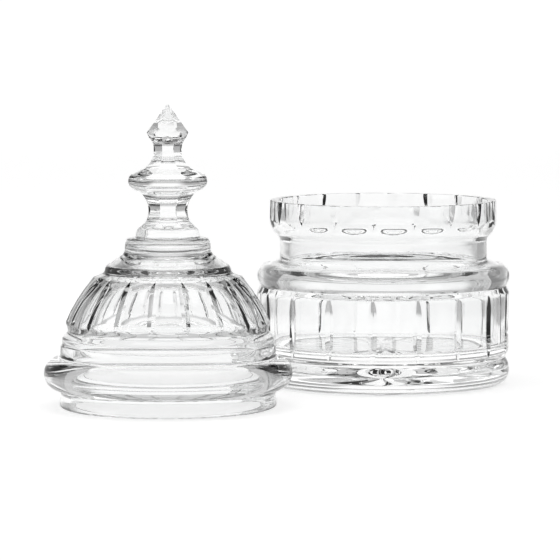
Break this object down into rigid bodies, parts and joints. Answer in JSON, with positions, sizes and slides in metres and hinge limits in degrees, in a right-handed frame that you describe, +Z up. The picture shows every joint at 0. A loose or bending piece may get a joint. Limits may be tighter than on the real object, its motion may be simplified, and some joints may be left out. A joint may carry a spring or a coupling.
{
  "type": "cut crystal powder jar with domed lid",
  "caption": "Clear cut crystal powder jar with a flared panelled rim, and its domed lid with a faceted finial standing beside it.",
  "frame": {"origin": "on the table top, in the middle of the footprint of the jar and the lid together", "axes": "+Z up, +X from the lid towards the jar across the front, +Y from the front to the back"},
  "size_m": [0.2183, 0.2125, 0.1375],
  "materials": {
    "crystal": "polished clear lead crystal"
  },
  "bodies": {
    "jar": {"jar": "crystal"},
    "lid": {"lid": "crystal"}
  },
  "joints": [
    {"name": "lid_lift", "type": "slide", "parent": "jar", "child": "lid", "axis": [0, 0, 1], "range_m": [0, 0.11]}
  ]
}
